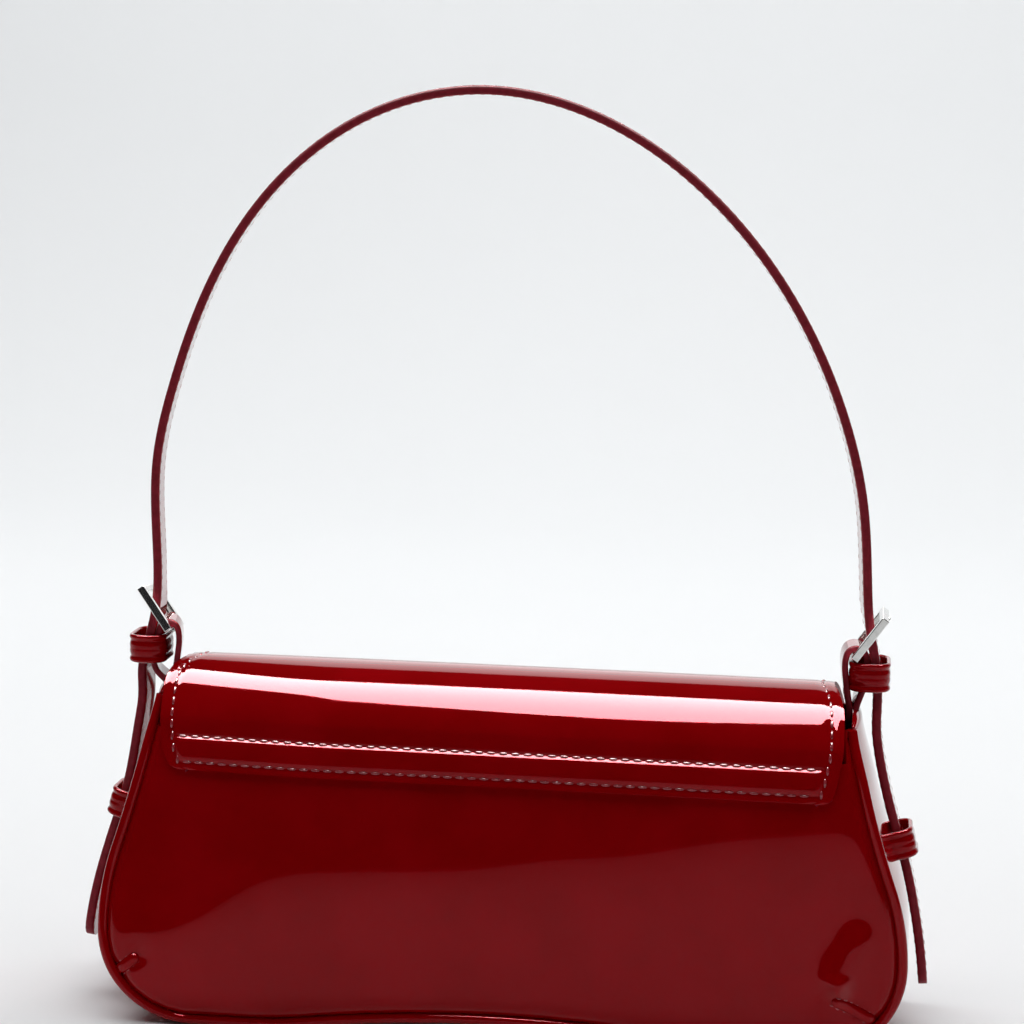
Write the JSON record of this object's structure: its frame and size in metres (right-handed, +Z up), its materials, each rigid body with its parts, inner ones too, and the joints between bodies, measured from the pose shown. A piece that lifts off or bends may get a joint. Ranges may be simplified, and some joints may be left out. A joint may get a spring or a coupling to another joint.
{
  "type": "baguette bag",
  "caption": "Small long shoulder bag in glossy red leather with a flap over the top, piped panels, a side gusset and a buckled arch handle",
  "frame": {"origin": "Middle of the bag's length and depth, on the surface the bag stands on.", "axes": "+X to the right as seen from the back of the bag (the side in the picture), +Y from the back to the flap's front, +Z up."},
  "size_m": [0.2832, 0.0779, 0.311],
  "materials": {
    "patent_leather": "glossy patent, deep red",
    "strap_leather": "glossy red with burgundy painted edges",
    "polished_steel": "polished silver colour",
    "lining_fabric": "plain woven lining, dark red",
    "board": "stiff base board"
  },
  "bodies": {
    "bag_body": {"back_panel": "patent_leather", "front_panel": "patent_leather", "back_piping": "patent_leather", "front_piping": "patent_leather", "gusset": "patent_leather", "base_board": "board", "lining": "lining_fabric", "flap_tail": "patent_leather", "snap_socket": "polished_steel", "left_strap_tail": "strap_leather", "right_strap_tail": "strap_leather", "left_lower_keeper": "strap_leather", "right_lower_keeper": "strap_leather"},
    "flap": {"flap_shell": "patent_leather", "flap_lining": "lining_fabric", "snap_stud": "polished_steel"},
    "handle": {"handle_strap_outer": "strap_leather", "handle_strap_inner": "strap_leather", "left_tab": "strap_leather", "right_tab": "strap_leather", "left_buckle_frame": "polished_steel", "right_buckle_frame": "polished_steel"},
    "left_keeper": {"left_upper_keeper": "strap_leather"},
    "right_keeper": {"right_upper_keeper": "strap_leather"},
    "left_prong": {"left_prong": "polished_steel"},
    "right_prong": {"right_prong": "polished_steel"}
  },
  "joints": [
    {"name": "flap_hinge", "type": "hinge", "parent": "bag_body", "child": "flap", "pos_m": [0, -0.03178, 0.097], "axis": [1, 0, 0], "range_deg": [0, 150]},
    {"name": "handle_swing", "type": "hinge", "parent": "bag_body", "child": "handle", "pos_m": [0, 0, 0.11], "axis": [1, 0, 0], "range_deg": [-40, 40]},
    {"name": "left_keeper_slide", "type": "slide", "parent": "handle", "child": "left_keeper", "axis": [0, 0, -1], "range_m": [0, 0.0015]},
    {"name": "left_prong_hinge", "type": "hinge", "parent": "handle", "child": "left_prong", "pos_m": [-0.11532, 0, 0.12835], "axis": [0, -1, 0], "range_deg": [0, 8]},
    {"name": "right_keeper_slide", "type": "slide", "parent": "handle", "child": "right_keeper", "axis": [0, 0, -1], "range_m": [0, 0.0015]},
    {"name": "right_prong_hinge", "type": "hinge", "parent": "handle", "child": "right_prong", "pos_m": [0.11532, 0, 0.12835], "axis": [0, 1, 0], "range_deg": [0, 8]}
  ]
}
